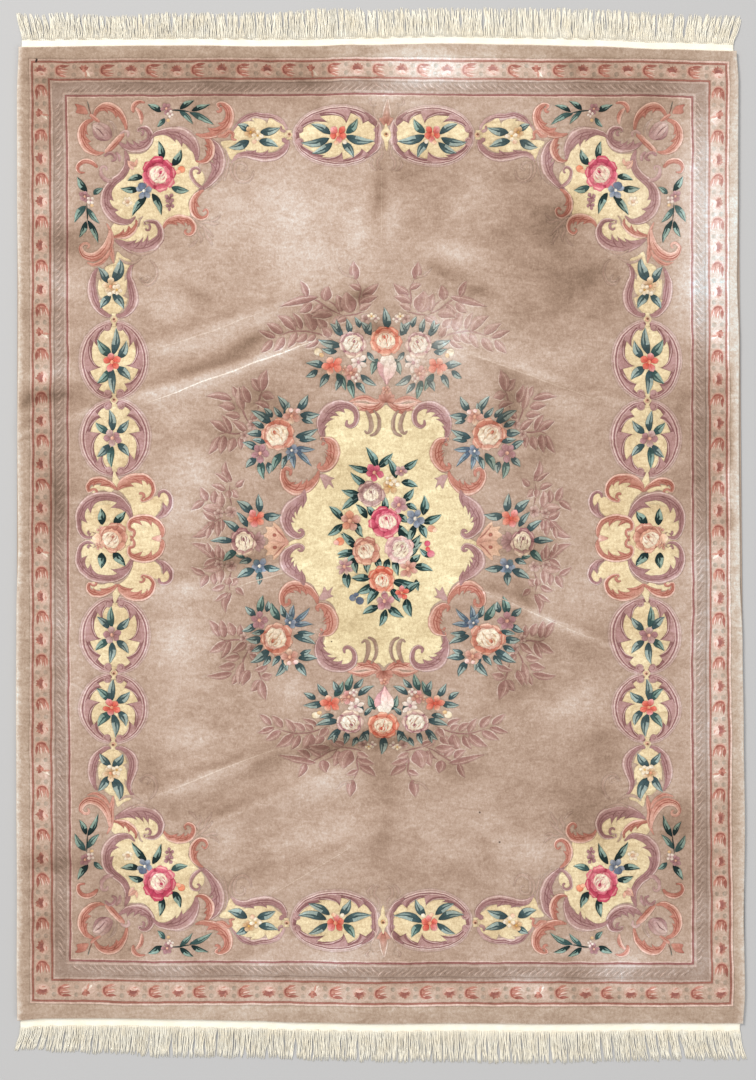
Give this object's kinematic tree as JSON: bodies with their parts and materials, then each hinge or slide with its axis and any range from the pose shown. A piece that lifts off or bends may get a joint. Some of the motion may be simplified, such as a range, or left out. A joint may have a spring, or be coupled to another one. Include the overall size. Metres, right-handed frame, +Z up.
{
  "type": "carved wool rug",
  "caption": "Oblong floral rug with a thick carved wool pile, framed guard lines and a fringe of bunched cotton warp ends along each short end, lying flat.",
  "frame": {"origin": "middle of the flat underside, fringes included", "axes": "+Y along the rug's length towards the end at the picture's top, +X across to the picture's right, +Z up from the floor"},
  "size_m": [2.479, 3.579, 0.0191],
  "materials": {
    "pile_wool": "soft cut wool pile with a cloudy sheen",
    "warp_cotton": "matt twisted cotton"
  },
  "bodies": {
    "root": {"rug": "pile_wool", "fringe_top": "warp_cotton", "fringe_bottom": "warp_cotton"}
  },
  "joints": []
}
